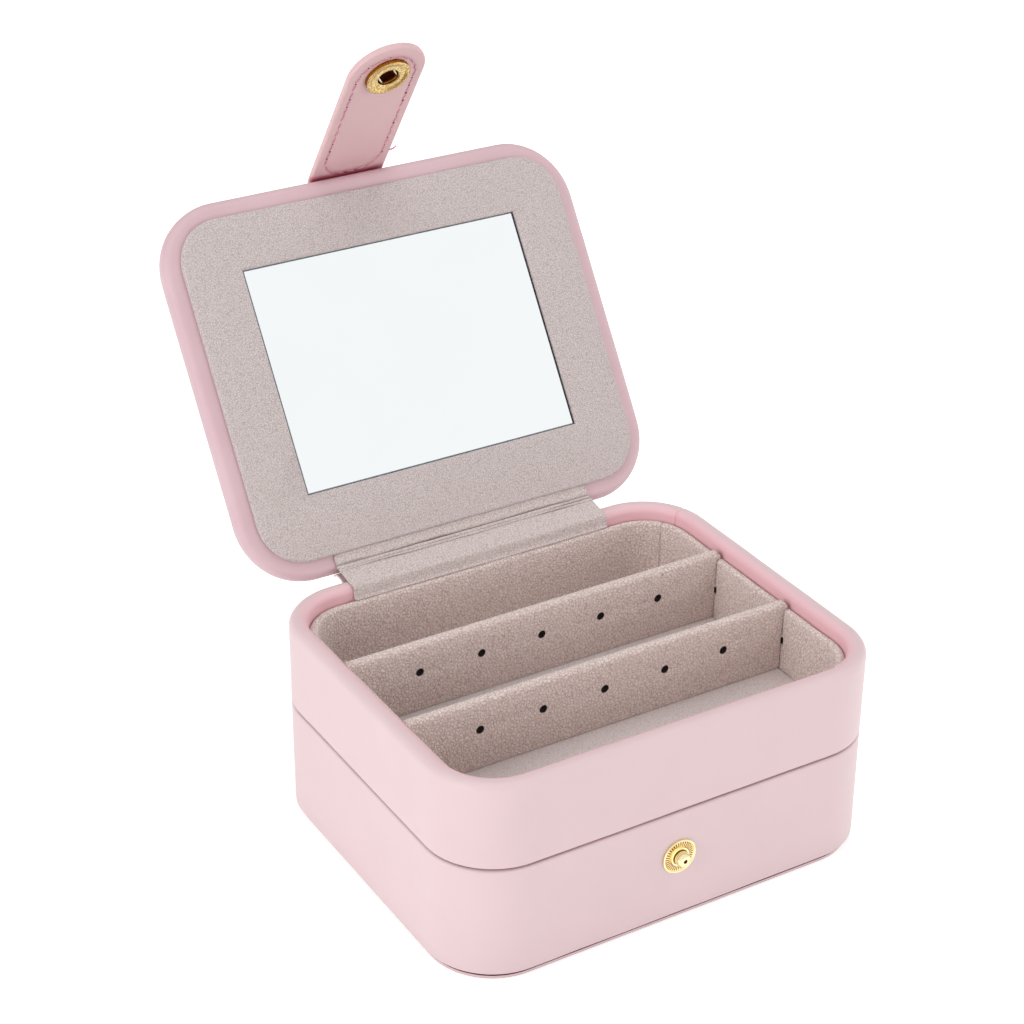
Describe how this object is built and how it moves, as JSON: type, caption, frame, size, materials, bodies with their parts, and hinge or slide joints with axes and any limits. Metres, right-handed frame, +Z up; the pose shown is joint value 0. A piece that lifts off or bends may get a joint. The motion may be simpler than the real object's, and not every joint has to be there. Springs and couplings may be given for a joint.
{
  "type": "jewellery case",
  "caption": "Two-layer travel jewellery case in pink leather cloth, with a hinged middle tray, a mirrored lid and a snap strap.",
  "frame": {"origin": "centre of the underside of the bottom tray", "axes": "+X to the right across the width, +Y to the rear where the hinges are, so the strap and stud are at -Y, +Z up"},
  "size_m": [0.115, 0.1604, 0.1721],
  "materials": {
    "pink_leather": "satin, very fine grain",
    "greige_velvet": "short soft pile",
    "wall_board": "solid grey board, hidden",
    "foam": "thin open foam, hidden",
    "mirror_glass": "silvered glass",
    "gilt_brass": "polished pale gold plating",
    "spring_steel": "drawn wire"
  },
  "bodies": {
    "base": {"base_plate": "pink_leather", "base_frame": "wall_board", "base_cover": "pink_leather", "base_wall_lining": "greige_velvet", "base_floor_lining": "greige_velvet", "base_long_divider": "greige_velvet", "base_cross_divider": "greige_velvet", "ring_roll_1": "greige_velvet", "ring_roll_2": "greige_velvet", "ring_roll_3": "greige_velvet", "ring_roll_4": "greige_velvet", "ring_roll_5": "greige_velvet", "ring_roll_6": "greige_velvet", "snap_stud": "gilt_brass", "stud_rivet": "gilt_brass", "tray_hinge_spine": "pink_leather"},
    "middle_tray": {"middle_frame": "wall_board", "middle_cover": "pink_leather", "middle_underside": "pink_leather", "middle_floor_board": "wall_board", "middle_wall_lining": "greige_velvet", "middle_floor_lining": "greige_velvet", "earring_divider_front": "greige_velvet", "earring_divider_rear": "greige_velvet", "lid_hinge_lining": "greige_velvet", "lid_hinge_spine": "pink_leather"},
    "lid": {"lid_board": "wall_board", "lid_padding": "foam", "lid_cover": "pink_leather", "lid_panel": "greige_velvet", "mirror": "mirror_glass", "strap_tail": "pink_leather"},
    "strap": {"strap_outer": "pink_leather", "strap_lining": "pink_leather", "snap_cap": "gilt_brass", "snap_socket": "gilt_brass", "snap_springs": "spring_steel"}
  },
  "joints": [
    {"name": "tray_hinge", "type": "hinge", "parent": "base", "child": "middle_tray", "pos_m": [0, 0.0482, 0.03035], "axis": [-1, 0, 0], "range_deg": [0, 70], "deforming": ["tray_hinge_spine"]},
    {"name": "lid_hinge", "type": "hinge", "parent": "middle_tray", "child": "lid", "pos_m": [0, 0.049, 0.05205], "axis": [1, 0, 0], "range_deg": [0, 124], "deforming": ["lid_hinge_lining", "lid_hinge_spine"]},
    {"name": "strap_fold", "type": "hinge", "parent": "lid", "child": "strap", "pos_m": [0, 0.10878, 0.1293], "axis": [1, 0, 0], "range_deg": [-68, 19.4], "stiffness_Nm_per_rad": 0.1}
  ]
}
